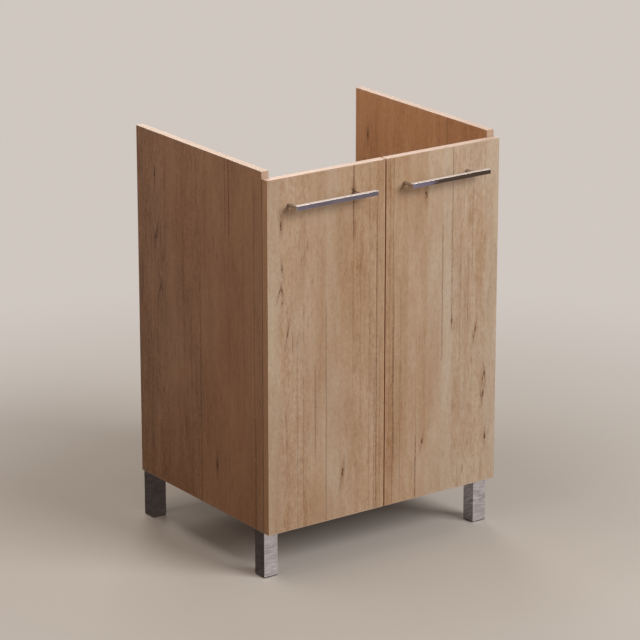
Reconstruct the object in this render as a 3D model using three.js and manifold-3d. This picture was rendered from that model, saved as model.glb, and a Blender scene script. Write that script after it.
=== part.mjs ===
// Sink base cabinet: open-topped two-door carcass on four square metal legs.
// Millimetres, +Z up, the doors face -Y. Origin: floor level, centre of the whole outline.

import * as THREE from 'three';
import { mergeVertices } from 'three/addons/utils/BufferGeometryUtils.js';
import Module from 'manifold-3d';

const wasm = await Module();
wasm.setup();

// ---------------------------------------------------------------- driving dimensions

const WIDTH = 600; // over both side panels
const CARCASS_DEPTH = 472; // side panels, front edge to back edge
const PANEL_HEIGHT = 785; // side panels, bottom edge to top edge
const GROUND_CLEARANCE = 105; // floor to the underside of the carcass
const BOARD = 18; // side panels, bottom panel and rails
const SEAT = 0.3; // clearance between two pieces that meet

const DOOR = {
  board: 18,
  gap: 2, // closed door to the carcass front
  seam: 3, // between the two doors
  topDrop: 15, // door top below the side panel top
};

const FRONT_RAIL = { height: 60, drop: 20 }; // drop: rail top below the door top
const BACK_RAIL = { height: 80, upperTop: 640 }; // upperTop: top edge above the floor

const CAM = {
  radius: 7.5, // housing let into the board
  depth: 12.6,
  endDistance: 34, // housing centre from the board's end
  boltRadius: 3,
  boltReach: 11, // length of the bolt inside the side panel
  channelRadius: 4,
  fromCorner: 110, // bottom panel: fitting from the front and back edges
};

const CUP = {
  radius: 17.2,
  wall: 1.6,
  depth: 11.9,
  floor: 1.2,
  edgeDistance: 5, // bore edge from the door's outer edge
  earHeight: 52,
  earThickness: 1.2,
  earWidth: 13,
};

const HINGE = {
  fromDoorTop: 130,
  fromDoorBottom: 90,
  armPin: { fromPanel: 14, behindDoor: 3.6 }, // pivot at the arm's nose
  cupPin: { fromDoorEdge: 12, insideDoor: 3.3 }, // pivot inside the cup
  pinRadius: 1.6,
  linkSagitta: 8,
  linkThickness: 2,
  linkWidth: 8.4,
  eyeRadius: 3,
};

const ARM = { wall: 1.2, noseRadius: 3.2, rise: 3.2, throat: 9, webStart: 8, end: 66 };

const PLATE = {
  thickness: 2,
  start: 28, // behind the door's back face
  end: 66,
  height: 52,
  width: 12,
  trackStart: 34,
  trackEnd: 62,
  trackRise: 6,
};

const HANDLE = {
  length: 206,
  section: 10,
  standoff: 25, // door face to the bar's back
  fromDoorTop: 58.5,
  fromSeam: 44.5, // the bar's near end from the middle of the cabinet
  postRadius: 4,
  postEndInset: 4.5, // left post centre from the bar's left end
  postSpacing: 165,
  spigotRadius: 2.5,
  spigotLength: 5,
};

const HANDLE_SCREW = { radius: 2, headRadius: 4, headHeight: 2.6, engagement: 9 };

const BUMPER = { radius: 5, fromSeam: 15 };

const LEG = {
  section: 34,
  wall: 1.5,
  sideInset: 4,
  frontInset: 3,
  backInset: 2,
  floorGap: 1.5, // tube end above the floor
  nutDrop: 4, // nut block below the tube's top
  nutHeight: 10,
  footWebAbove: 12, // web above the tube's bottom end
  footWebHeight: 6,
};

const LEG_PLATE = { size: 60, thickness: 2, studRadius: 5, studLength: 20 };

const FOOT = { radius: 14, height: 6, stemRadius: 4, stemLength: 34 };

const ROUND = 16; // sides of a small round
const CUP_ROUND = 32; // sides of a hinge cup
const ARC_STEPS = 10;
const WELD = 1e-4;
const OVERRUN = 1; // how far a cutter runs past the face that it opens

// ---------------------------------------------------------------- derived places

const LEFT = -1;
const RIGHT = 1;
const SIDES = [[LEFT, 'left'], [RIGHT, 'right']];

const halfWidth = WIDTH / 2;
const totalDepth = HANDLE.section + HANDLE.standoff + DOOR.board + DOOR.gap + CARCASS_DEPTH;
const backY = totalDepth / 2;
const carcassFrontY = backY - CARCASS_DEPTH;
const carcassMiddleY = (carcassFrontY + backY) / 2;
const doorBackY = carcassFrontY - DOOR.gap;
const doorFrontY = doorBackY - DOOR.board;

const carcassBottomZ = GROUND_CLEARANCE;
const carcassTopZ = carcassBottomZ + PANEL_HEIGHT;
const doorTopZ = carcassTopZ - DOOR.topDrop;
const doorHeight = doorTopZ - carcassBottomZ;
const doorWidth = halfWidth - DOOR.seam / 2;
const handleZ = doorTopZ - HANDLE.fromDoorTop;

const innerLength = WIDTH - 2 * BOARD - 2 * SEAT;
const frontRailZ = doorTopZ - FRONT_RAIL.drop - FRONT_RAIL.height / 2;
const backRailY = backY - BOARD / 2;
const backRails = [
  ['upper', BACK_RAIL.upperTop - BACK_RAIL.height / 2],
  ['lower', carcassBottomZ + BOARD + SEAT + BACK_RAIL.height / 2],
];

const cupBore = CUP.radius + SEAT;
const cupCentre = CUP.edgeDistance + cupBore;
const hinges = [
  ['upper', doorTopZ - HINGE.fromDoorTop],
  ['lower', carcassBottomZ + HINGE.fromDoorBottom],
];
const armPin = new THREE.Vector2(BOARD + HINGE.armPin.fromPanel, HINGE.armPin.behindDoor);
const cupPin = new THREE.Vector2(HINGE.cupPin.fromDoorEdge, -HINGE.cupPin.insideDoor);
const eyeBore = HINGE.pinRadius + SEAT;

const camBore = CAM.radius + SEAT;
const camMiddle = BOARD / 2;

const tubeTopZ = carcassBottomZ - 2 * SEAT - LEG_PLATE.thickness;
const legCentreX = halfWidth - LEG.sideInset - LEG.section / 2;
const legRows = [
  ['front', carcassFrontY + LEG.frontInset + LEG.section / 2, 1],
  ['back', backY - LEG.backInset - LEG.section / 2, -1],
];

// ---------------------------------------------------------------- materials

const finish = (color, roughness, metalness) =>
  new THREE.MeshStandardMaterial({ color, roughness, metalness });

const oakDecor = finish('#a9835f', 0.55, 0);
const chrome = finish('#d4d6da', 0.08, 1);
const nickel = finish('#a9abae', 0.3, 1);
const zinc = finish('#9fa2a6', 0.45, 1);
const clearRubber = finish('#d9d6cf', 0.4, 0);
const blackNylon = finish('#26262a', 0.6, 0);

// ---------------------------------------------------------------- solid helpers

function solidOf(geometry) {
  geometry.deleteAttribute('normal');
  geometry.deleteAttribute('uv');
  const merged = mergeVertices(geometry, WELD);
  return new wasm.Manifold(new wasm.Mesh({
    numProp: 3,
    vertProperties: new Float32Array(merged.attributes.position.array),
    triVerts: new Uint32Array(merged.index.array),
  }));
}

function geometryOf(solid) {
  const { numProp, vertProperties, triVerts } = solid.getMesh();
  const geometry = new THREE.BufferGeometry();
  geometry.setAttribute('position', new THREE.BufferAttribute(new Float32Array(vertProperties), numProp));
  geometry.setIndex(new THREE.BufferAttribute(new Uint32Array(triVerts), 1));
  geometry.computeVertexNormals();
  return geometry;
}

// A box of the given size about a centre.
function block(size, centre = [0, 0, 0]) {
  return solidOf(new THREE.BoxGeometry(...size).translate(...centre));
}

// A cylinder along an axis. The length may be negative; from is the centre of its first end.
function rod(axis, radius, from, length, sides = ROUND) {
  const geometry = new THREE.CylinderGeometry(radius, radius, Math.abs(length), sides);
  geometry.translate(0, length / 2, 0);
  if (axis === 'z') geometry.rotateX(Math.PI / 2);
  if (axis === 'x') geometry.rotateZ(-Math.PI / 2);
  return solidOf(geometry.translate(...from));
}

// An outline in X and Y raised to a height, centred on Z = 0.
function raised(points, height) {
  const options = { depth: height, bevelEnabled: false };
  return solidOf(new THREE.ExtrudeGeometry(new THREE.Shape(points), options).translate(0, 0, -height / 2));
}

const joined = (solids) => solids.reduce((whole, next) => whole.add(next));
const cut = (solid, cutters) => cutters.reduce((rest, cutter) => rest.subtract(cutter), solid);

function piece(name, solid, material, position = [0, 0, 0]) {
  const mesh = new THREE.Mesh(geometryOf(solid), material);
  mesh.name = name;
  mesh.position.set(...position);
  return mesh;
}

function groupAt(position, members) {
  const group = new THREE.Group();
  group.position.set(...position);
  group.add(...members);
  return group;
}

// ---------------------------------------------------------------- carcass fittings

// Places of the cam fittings on one side: where the bolt enters the side panel, and the way
// that the housing looks out of its board.
const camPlaces = [
  ['bottom_front', carcassFrontY + CAM.fromCorner, carcassBottomZ + camMiddle, 'down'],
  ['bottom_back', backY - CAM.fromCorner, carcassBottomZ + camMiddle, 'down'],
  ['front_rail', carcassFrontY + camMiddle, frontRailZ, 'back'],
  ...backRails.map(([level, z]) => [`back_rail_${level}`, backRailY, z, 'front']),
];

// Housing of a cam fitting, in the frame of its bolt's axis. The face lies SEAT below the board's.
function camHousing(side, look, radius, depth, faceDrop) {
  const x = -side * (BOARD + CAM.endDistance);
  const face = BOARD / 2 - faceDrop;
  if (look === 'down') return rod('z', radius, [x, 0, -face], depth);
  const way = look === 'back' ? 1 : -1;
  return rod('y', radius, [x, way * face, 0], -way * depth);
}

function camFitting(side, look) {
  const boltStart = -side * (BOARD - CAM.boltReach);
  const boltLength = BOARD + CAM.endDistance - (BOARD - CAM.boltReach);
  const bolt = rod('x', CAM.boltRadius, [boltStart, 0, 0], -side * boltLength);
  return camHousing(side, look, CAM.radius, CAM.depth, SEAT).add(bolt);
}

// What a cam fitting takes out of the board that holds its housing.
function camPocket(side, look) {
  const depth = CAM.depth + 2 * SEAT + OVERRUN;
  const channelStart = -side * (BOARD - OVERRUN);
  const channel = rod('x', CAM.channelRadius, [channelStart, 0, 0], -side * (CAM.endDistance + OVERRUN));
  return camHousing(side, look, camBore, depth, -OVERRUN).add(channel);
}

function camFittings() {
  return SIDES.flatMap(([side, hand]) => camPlaces.map(([place, y, z, look]) =>
    piece(`cam_fitting_${place}_${hand}`, camFitting(side, look), zinc, [side * halfWidth, y, z])));
}

// ---------------------------------------------------------------- carcass boards

function sidePanel(side, hand) {
  const centre = [side * (halfWidth - BOARD / 2), carcassMiddleY, carcassBottomZ + PANEL_HEIGHT / 2];
  const inner = side * (halfWidth - BOARD - OVERRUN);
  const holes = camPlaces.map(([, y, z]) =>
    rod('x', CAM.boltRadius + SEAT, [inner, y, z], side * (CAM.boltReach + SEAT + OVERRUN)));
  const board = cut(block([BOARD, CARCASS_DEPTH, PANEL_HEIGHT], centre), holes);
  return piece(`side_panel_${hand}`, board, oakDecor);
}

// A board between the side panels, with pockets for the cam fittings that hold it.
function crossBoard(name, depth, height, y, z, places) {
  const pockets = SIDES.flatMap(([side]) => places.map(([, camY, camZ, look]) =>
    camPocket(side, look).translate(side * halfWidth, camY, camZ)));
  return piece(name, cut(block([innerLength, depth, height], [0, y, z]), pockets), oakDecor);
}

function carcass() {
  const placesOf = (start) => camPlaces.filter(([place]) => place.startsWith(start));
  const bottomZ = carcassBottomZ + BOARD / 2;
  const rail = (name, height, y, z) => crossBoard(name, BOARD, height, y, z, placesOf(name));
  return [
    ...SIDES.map(([side, hand]) => sidePanel(side, hand)),
    crossBoard('bottom_panel', CARCASS_DEPTH, BOARD, carcassMiddleY, bottomZ, placesOf('bottom')),
    rail('front_rail', FRONT_RAIL.height, carcassFrontY + BOARD / 2, frontRailZ),
    ...backRails.map(([level, z]) => rail(`back_rail_${level}`, BACK_RAIL.height, backRailY, z)),
    ...camFittings(),
  ];
}

// ---------------------------------------------------------------- handles

// Post centres along X, measured from the bar's left end.
const postPlaces = [['left', HANDLE.postEndInset], ['right', HANDLE.postEndInset + HANDLE.postSpacing]];

const barLeftX = (side) => (side === RIGHT ? HANDLE.fromSeam : -HANDLE.fromSeam - HANDLE.length);
const screwSeat = HANDLE_SCREW.headHeight + 2 * SEAT; // depth of the counterbore for the head
const screwTipDepth = DOOR.board + HANDLE_SCREW.engagement;

function handleBar() {
  const holes = postPlaces.map(([, x]) =>
    rod('y', HANDLE.spigotRadius + SEAT, [x, OVERRUN, 0], -(HANDLE.spigotLength + SEAT + OVERRUN)));
  const centre = [HANDLE.length / 2, -HANDLE.section / 2, 0];
  return cut(block([HANDLE.length, HANDLE.section, HANDLE.section], centre), holes);
}

// A post stands on the door face at Y = 0 and points to -Y.
function handlePost() {
  const middle = HANDLE.standoff / 2;
  const threadDepth = HANDLE_SCREW.engagement + SEAT + OVERRUN;
  const body = rod('y', HANDLE.postRadius, [0, -SEAT, 0], -(HANDLE.standoff - 2 * SEAT));
  const spigot = rod('y', HANDLE.spigotRadius, [0, -middle, 0], -(middle + HANDLE.spigotLength));
  const thread = rod('y', HANDLE_SCREW.radius + SEAT, [0, OVERRUN, 0], -threadDepth);
  return cut(body.add(spigot), [thread]);
}

// The screw comes from behind the door; Y = 0 is the door's back face.
function handleScrew() {
  const head = rod('y', HANDLE_SCREW.headRadius, [0, -SEAT, 0], -HANDLE_SCREW.headHeight);
  return head.add(rod('y', HANDLE_SCREW.radius, [0, -SEAT - HANDLE_SCREW.headHeight / 2, 0],
    -(screwTipDepth - SEAT - HANDLE_SCREW.headHeight / 2)));
}

function handle(side, hand) {
  const left = barLeftX(side);
  const posts = postPlaces.flatMap(([end, x]) => [
    piece(`handle_post_${hand}_${end}`, handlePost(), chrome, [left + x, doorFrontY, handleZ]),
    piece(`handle_screw_${hand}_${end}`, handleScrew(), zinc, [left + x, doorBackY, handleZ]),
  ]);
  const bar = piece(`handle_bar_${hand}`, handleBar(), chrome, [left, doorFrontY - HANDLE.standoff, handleZ]);
  return [bar, ...posts];
}

// ---------------------------------------------------------------- hinges

// Hinge pieces are drawn in the frame of the door's outer back edge at the hinge's height:
// X runs from the outer edge inwards on either hand, and Y runs back into the cabinet.
const fromEdge = (side, x) => -side * x;

// Centre line of the curved link: an arc that dips into the cup between the two pins.
function linkArc() {
  const chord = armPin.clone().sub(cupPin);
  const halfChord = chord.length() / 2;
  const sagitta = HINGE.linkSagitta;
  const radius = (halfChord ** 2 + sagitta ** 2) / (2 * sagitta);
  const outward = new THREE.Vector2(chord.y, -chord.x).normalize();
  const centre = armPin.clone().add(cupPin).multiplyScalar(0.5).addScaledVector(outward, sagitta - radius);
  const start = Math.atan2(cupPin.y - centre.y, cupPin.x - centre.x);
  return { centre, radius, start, sweep: 4 * Math.atan(sagitta / halfChord) };
}

function hingeLink(side) {
  const { centre, radius, start, sweep } = linkArc();
  const rim = (offset, from, to) => Array.from({ length: ARC_STEPS + 1 }, (_, i) => {
    const angle = from + ((to - from) * i) / ARC_STEPS;
    const reach = radius + offset;
    return new THREE.Vector2(
      fromEdge(side, centre.x + reach * Math.cos(angle)), centre.y + reach * Math.sin(angle));
  });
  const half = HINGE.linkThickness / 2;
  const outline = [...rim(half, start, start + sweep), ...rim(-half, start + sweep, start)];
  const strip = raised(outline, HINGE.linkWidth);
  const across = (radiusOf, pin, length) =>
    rod('z', radiusOf, [fromEdge(side, pin.x), pin.y, -length / 2], length);
  const eyes = [armPin, cupPin].map((pin) => across(HINGE.eyeRadius, pin, HINGE.linkWidth));
  const bores = [armPin, cupPin].map((pin) => across(eyeBore, pin, HINGE.linkWidth + 2 * OVERRUN));
  return cut(joined([strip, ...eyes]), bores);
}

// Cup pressed into the door, with its pin and the two screw ears on the door's back face.
function hingeCup(side) {
  const inner = CUP.radius - CUP.wall;
  const centre = fromEdge(side, cupCentre);
  const height = CUP.depth + SEAT + CUP.earThickness;
  const shell = rod('y', CUP.radius, [centre, -CUP.depth, 0], height, CUP_ROUND);
  const hollow = rod('y', inner, [centre, CUP.floor - CUP.depth, 0], height + OVERRUN, CUP_ROUND);
  const earX = fromEdge(side, cupCentre + CUP.earWidth / 2);
  const earHigh = SEAT + CUP.earThickness / 2;
  const ears = block([CUP.earWidth, CUP.earThickness, CUP.earHeight], [earX, earHigh, 0]);
  const lowRim = block([2 * cupCentre, 2 * CUP.earThickness, 2 * cupBore], [0, CUP.earThickness, 0]);
  const pinLength = 2 * Math.sqrt((CUP.radius - CUP.wall / 2) ** 2 - (cupCentre - cupPin.x) ** 2);
  const pin = rod('z', HINGE.pinRadius, [fromEdge(side, cupPin.x), cupPin.y, -pinLength / 2], pinLength);
  return cut(shell.subtract(lowRim).add(ears), [hollow]).add(pin);
}

// Arm: a channel open towards the side panel, with the link's pin across its nose.
function hingeArm(side) {
  const at = (x, y) => new THREE.Vector2(fromEdge(side, x), y);
  const clear = HINGE.linkWidth / 2 + SEAT;
  const top = armPin.x + ARM.rise;
  const foot = BOARD + SEAT + PLATE.thickness + SEAT;
  const outline = [
    at(armPin.x - ARM.noseRadius, armPin.y), at(armPin.x + ARM.noseRadius, armPin.y),
    at(top, ARM.end), at(foot, ARM.end), at(foot, PLATE.trackStart),
    at(top - ARM.throat, ARM.webStart + ARM.throat),
  ];
  const cheek = (way) => {
    const z = way * (clear + ARM.wall / 2);
    const nose = rod('z', ARM.noseRadius, [fromEdge(side, armPin.x), armPin.y, z - ARM.wall / 2], ARM.wall);
    return raised(outline, ARM.wall).translate(0, 0, z).add(nose);
  };
  const width = 2 * (clear + ARM.wall);
  const web = block(
    [ARM.wall, ARM.end - ARM.webStart, width],
    [fromEdge(side, top - ARM.wall / 2), (ARM.end + ARM.webStart) / 2, 0]);
  const pin = rod('z', HINGE.pinRadius, [fromEdge(side, armPin.x), armPin.y, -width / 2], width);
  return joined([cheek(-1), cheek(1), web, pin]);
}

// Mounting plate on the inner face of the side panel, with the track that the arm clips over.
function hingePlate(side) {
  const low = BOARD + SEAT;
  const middle = [fromEdge(side, low + PLATE.thickness / 2), (PLATE.start + PLATE.end) / 2, 0];
  const wings = block([PLATE.thickness, PLATE.width, PLATE.height], middle);
  const sole = block([PLATE.thickness, PLATE.end - PLATE.start, PLATE.width], middle);
  const rise = PLATE.thickness + PLATE.trackRise;
  const track = block([rise, PLATE.trackEnd - PLATE.trackStart, HINGE.linkWidth],
    [fromEdge(side, low + rise / 2), (PLATE.trackStart + PLATE.trackEnd) / 2, 0]);
  return joined([wings, sole, track]);
}

function hingeSet(side, hand) {
  return hinges.map(([level, z]) => groupAt([side * halfWidth, doorBackY, z], [
    piece(`hinge_plate_${hand}_${level}`, hingePlate(side), nickel),
    piece(`hinge_arm_${hand}_${level}`, hingeArm(side), nickel),
    piece(`hinge_link_${hand}_${level}`, hingeLink(side), nickel),
    piece(`hinge_cup_${hand}_${level}`, hingeCup(side), nickel),
  ]));
}

// ---------------------------------------------------------------- doors

function doorPanel(side, hand) {
  const board = block([doorWidth, DOOR.board, doorHeight],
    [side * (halfWidth - doorWidth / 2), (doorFrontY + doorBackY) / 2, (doorTopZ + carcassBottomZ) / 2]);
  const cutDepth = CUP.depth + SEAT + OVERRUN;
  const cupX = side * (halfWidth - cupCentre);
  const cups = hinges.map(([, z]) => rod('y', cupBore, [cupX, doorBackY + OVERRUN, z], -cutDepth, CUP_ROUND));
  const screws = postPlaces.flatMap(([, x]) => {
    const at = barLeftX(side) + x;
    return [
      rod('y', HANDLE_SCREW.radius + SEAT, [at, doorFrontY - OVERRUN, handleZ], DOOR.board + 2 * OVERRUN),
      rod('y', HANDLE_SCREW.headRadius + SEAT, [at, doorBackY + OVERRUN, handleZ], -(screwSeat + OVERRUN)),
    ];
  });
  return piece(`door_${hand}`, cut(board, [...cups, ...screws]), oakDecor);
}

// Soft stops on the door's back, against the front rail and the bottom panel's front edge.
function bumpers(side, hand) {
  const places = [['upper', frontRailZ + FRONT_RAIL.height / 4], ['lower', carcassBottomZ + BOARD / 2]];
  return places.map(([level, z]) => piece(`door_bumper_${hand}_${level}`,
    rod('y', BUMPER.radius, [0, SEAT, 0], DOOR.gap - 2 * SEAT), clearRubber,
    [side * (DOOR.seam / 2 + BUMPER.fromSeam), doorBackY, z]));
}

function door(side, hand) {
  return [doorPanel(side, hand), ...bumpers(side, hand), ...handle(side, hand), ...hingeSet(side, hand)];
}

// ---------------------------------------------------------------- legs

// Square tube with a nut block near the top and a threaded web for the foot near the bottom.
function legTube() {
  const length = tubeTopZ - LEG.floorGap;
  const hole = LEG.section - 2 * LEG.wall;
  const tube = block([LEG.section, LEG.section, length], [0, 0, LEG.floorGap + length / 2]);
  const bore = block([hole, hole, length + 2 * OVERRUN], [0, 0, LEG.floorGap + length / 2]);
  const side = LEG.section - LEG.wall;
  const web = (height, z, radius) => block([side, side, height], [0, 0, z + height / 2])
    .subtract(rod('z', radius + SEAT, [0, 0, z - OVERRUN], height + 2 * OVERRUN));
  const nut = web(LEG.nutHeight, tubeTopZ - LEG.nutDrop - LEG.nutHeight, LEG_PLATE.studRadius);
  const footWeb = web(LEG.footWebHeight, LEG.floorGap + LEG.footWebAbove, FOOT.stemRadius);
  return joined([cut(tube, [bore]), nut, footWeb]);
}

// Plate under the carcass corner, in the frame of the leg's axis at floor level.
function legPlate(side, inward) {
  const shift = (LEG_PLATE.size - LEG.section) / 2;
  const middle = carcassBottomZ - SEAT - LEG_PLATE.thickness / 2;
  const size = [LEG_PLATE.size, LEG_PLATE.size, LEG_PLATE.thickness];
  const plate = block(size, [-side * shift, inward * shift, middle]);
  return plate.add(rod('z', LEG_PLATE.studRadius, [0, 0, middle], -LEG_PLATE.studLength));
}

function levellingFoot() {
  const pad = rod('z', FOOT.radius, [0, 0, 0], FOOT.height);
  return pad.add(rod('z', FOOT.stemRadius, [0, 0, FOOT.height / 2], FOOT.stemLength));
}

function legs() {
  return legRows.flatMap(([row, y, inward]) => SIDES.map(([side, hand]) =>
    groupAt([side * legCentreX, y, 0], [
      piece(`leg_${row}_${hand}`, legTube(), chrome),
      piece(`leg_plate_${row}_${hand}`, legPlate(side, inward), zinc),
      piece(`levelling_foot_${row}_${hand}`, levellingFoot(), blackNylon),
    ])));
}

// ---------------------------------------------------------------- assembly

const cabinet = new THREE.Group();
cabinet.add(
  ...carcass(),
  ...SIDES.flatMap(([side, hand]) => door(side, hand)),
  ...legs(),
);

export default cabinet;
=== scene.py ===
"""Looks of the sink base cabinet: oak decor boards, bright metal legs and bars, hinges and small fixings.

Lengths in the sub-assemblies are millimetres, as on a cutting list, and turn into metres where a
mesh is made. +Z is up and the doors face -Y.
"""

import logging
import math
from dataclasses import asdict, dataclass, field, replace
from enum import Enum
from functools import partial, reduce

import bmesh
import bpy
from mathutils import Euler, Matrix, Vector


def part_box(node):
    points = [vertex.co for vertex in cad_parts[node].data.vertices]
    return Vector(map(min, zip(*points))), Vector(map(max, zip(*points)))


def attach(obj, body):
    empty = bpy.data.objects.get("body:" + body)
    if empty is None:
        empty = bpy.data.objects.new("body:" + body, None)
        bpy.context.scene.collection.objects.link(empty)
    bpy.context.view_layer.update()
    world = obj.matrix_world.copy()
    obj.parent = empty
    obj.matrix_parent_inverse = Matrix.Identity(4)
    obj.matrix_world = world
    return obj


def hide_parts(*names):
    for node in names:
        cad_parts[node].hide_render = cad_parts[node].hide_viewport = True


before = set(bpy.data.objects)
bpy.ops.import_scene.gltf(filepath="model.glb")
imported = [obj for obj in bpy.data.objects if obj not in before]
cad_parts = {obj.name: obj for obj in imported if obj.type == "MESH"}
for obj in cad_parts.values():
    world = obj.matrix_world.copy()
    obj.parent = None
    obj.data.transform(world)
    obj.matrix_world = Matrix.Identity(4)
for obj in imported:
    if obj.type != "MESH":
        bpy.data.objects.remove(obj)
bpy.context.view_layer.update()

log = logging.getLogger("sink_base")

MM = 0.001
HANDS = {"left": -1, "right": 1}
LEVELS = ("upper", "lower")
ROWS = ("front", "back")
ROUNDED_FROM = math.radians(34)  # CAD edges at least this sharp are rounded
CRISP_FROM = math.radians(38)  # edges of turned pieces at least this sharp stay crisp

Colour = tuple[float, float, float, float]
Shades = tuple[Colour, Colour, Colour]
Point = tuple[float, float, float]
Socket = bpy.types.NodeSocket
Wire = bpy.types.NodeSocket | float | tuple


def paint(red: int, green: int, blue: int) -> Colour:
    """Turns a colour chart value from 0 to 255 into the linear colour that a shader takes."""
    shares = (part / 255 for part in (red, green, blue))
    return (*(share / 12.92 if share <= 0.04045 else ((share + 0.055) / 1.055) ** 2.4 for share in shares), 1.0)


def tones(*colours: tuple[int, int, int]) -> Shades:
    """Dark, middle and light tone of a wood, from colour chart values."""
    return tuple(paint(*colour) for colour in colours)


# ---------------------------------------------------------------- shader bench


class Bench:
    """Lays nodes out in one node tree and wires them together."""

    COLUMN, ROW, PER_ROW = 200, 260, 14

    def __init__(self, tree: bpy.types.NodeTree) -> None:
        """Starts on a tree and empties it."""
        self.tree = tree
        tree.nodes.clear()

    def add(self, kind: str, wires: dict[str | int, Wire] | None = None, **settings: object) -> bpy.types.Node:
        """Adds one node.

        Args:
            kind: Blender's name of the node type.
            wires: what goes into its inputs, by name or number.
            settings: the node's own settings.

        Returns:
            The new node.
        """
        row, column = divmod(len(self.tree.nodes), self.PER_ROW)
        node = self.tree.nodes.new(kind)
        node.location = (self.COLUMN * column, -self.ROW * row)
        for name, value in settings.items():
            setattr(node, name, value)
        for name, value in (wires or {}).items():
            self.wire(value, node.inputs[name])
        return node

    def wire(self, value: Wire, socket: Socket) -> None:
        """Links an output to a socket, or writes a constant on it.

        Args:
            value: the output or the constant.
            socket: the input that takes it.
        """
        if isinstance(value, Socket):
            self.tree.links.new(value, socket)
        else:
            socket.default_value = value

    def sum_of(self, operation: str, *values: Wire, clamp: bool = False) -> Socket:
        """One step of arithmetic by Blender's name, such as SQRT; clamp keeps the answer from 0 to 1."""
        wires = dict(enumerate(values))
        return self.add("ShaderNodeMath", wires, operation=operation, use_clamp=clamp).outputs[0]

    def plus(self, *values: Wire) -> Wire:
        """Sum of the values."""
        return reduce(partial(self.sum_of, "ADD"), values)

    def minus(self, first: Wire, second: Wire) -> Socket:
        """First value less the second."""
        return self.sum_of("SUBTRACT", first, second)

    def times(self, *values: Wire) -> Wire:
        """Product of the values."""
        return reduce(partial(self.sum_of, "MULTIPLY"), values)

    def scaled(self, value: Wire, scale: Wire, offset: Wire, clamp: bool = False) -> Socket:
        """A value times a scale, plus an offset."""
        return self.sum_of("MULTIPLY_ADD", value, scale, offset, clamp=clamp)

    def most(self, *values: Wire) -> Wire:
        """Largest of the values."""
        return reduce(partial(self.sum_of, "MAXIMUM"), values)

    def square(self, value: Wire, size: Wire) -> Socket:
        """A length in units of a size, squared."""
        share = self.sum_of("DIVIDE", value, size)
        return self.times(share, share)

    def eased(self, value: Wire, start: Wire, end: Wire, low: Wire = 0.0, high: Wire = 1.0) -> Socket:
        """Eases from low to high as the value goes from start to end."""
        wires = {"Value": value, "From Min": start, "From Max": end, "To Min": low, "To Max": high}
        return self.add("ShaderNodeMapRange", wires, interpolation_type="SMOOTHSTEP").outputs[0]

    def vector(self, operation: str, first: Wire, second: Wire) -> bpy.types.Node:
        """One step of arithmetic with points, by Blender's name."""
        return self.add("ShaderNodeVectorMath", {0: first, 1: second}, operation=operation)

    def point(self, across: Wire, along: Wire, depth: Wire) -> Socket:
        """Joins three numbers into a point."""
        return self.add("ShaderNodeCombineXYZ", {0: across, 1: along, 2: depth}).outputs[0]

    def parts(self, vector: Wire) -> tuple[Socket, ...]:
        """Splits a point into its three numbers."""
        return tuple(self.add("ShaderNodeSeparateXYZ", {0: vector}).outputs[:3])

    def place(self) -> Socket:
        """The place on the piece, in metres."""
        return self.add("ShaderNodeTexCoord").outputs["Object"]

    def noise(self, place: Wire, detail: float, rough: float = 0.5, bend: float = 0.0) -> Socket:
        """Soft noise from 0 to 1 at one cell per unit of the place, with finer layers and a bend."""
        wires = {"Vector": place, "Scale": 1.0, "Detail": detail, "Roughness": rough, "Distortion": bend}
        return self.add("ShaderNodeTexNoise", wires).outputs[0]

    def blend(self, share: Wire, first: Wire, second: Wire, way: str = "MIX") -> Socket:
        """Mixes two colours, the second by its share, in one of Blender's ways."""
        wires = {0: share, 6: first, 7: second}
        return self.add("ShaderNodeMix", wires, data_type="RGBA", blend_type=way, clamp_factor=True).outputs[2]

    def shades(self, value: Wire, stops: list[tuple[float, Colour]]) -> Socket:
        """Reads a value off a colour scale.

        Args:
            value: place on the scale, 0 to 1.
            stops: places and their colours, in rising order.

        Returns:
            The socket with the colour.
        """
        node = self.add("ShaderNodeValToRGB", {0: value})
        scale = node.color_ramp.elements
        while len(scale) < len(stops):
            scale.new(0.5)
        for element, (place, _) in zip(scale, stops):
            element.position = place
        for element, (_, colour) in zip(scale, stops):
            element.color = colour
        return node.outputs[0]

    def bump(self, height: Wire, strength: float, distance: float) -> Socket:
        """Normal of a surface with this height, its strength and its depth in metres."""
        wires = {"Height": height, "Strength": strength, "Distance": distance}
        return self.add("ShaderNodeBump", wires).outputs[0]

    def use(self, effect: "Effect", wires: dict[str, Wire]) -> dict[str, Socket]:
        """Places a shared effect.

        Args:
            effect: which effect.
            wires: what goes into its named inputs.

        Returns:
            Its outputs by name.
        """
        node = self.add("ShaderNodeGroup")
        node.node_tree = effect.tree()
        for name, value in wires.items():
            self.wire(value, node.inputs[name])
        return {socket.name: socket for socket in node.outputs}


# ---------------------------------------------------------------- shared effects


def new_effect(name: str, takes: str, gives: str) -> tuple[Bench, list[Socket], bpy.types.NodeInputs]:
    """Starts a shared effect.

    Args:
        name: the effect's name.
        takes: names of its inputs: numbers, and a point where the name is Place.
        gives: names of its outputs, all numbers.

    Returns:
        The bench of the new tree, its inputs in order, and its outputs, which are set by name.
    """
    tree = bpy.data.node_groups.new(name, "ShaderNodeTree")
    for way, labels in (("INPUT", takes), ("OUTPUT", gives)):
        for label in labels.split(", "):
            kind = "NodeSocketVector" if label == "Place" else "NodeSocketFloat"
            tree.interface.new_socket(name=label, in_out=way, socket_type=kind)
    bench = Bench(tree)
    entry = bench.add("NodeGroupInput")
    return bench, [socket for socket in entry.outputs if socket.name], bench.add("NodeGroupOutput").inputs


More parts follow.
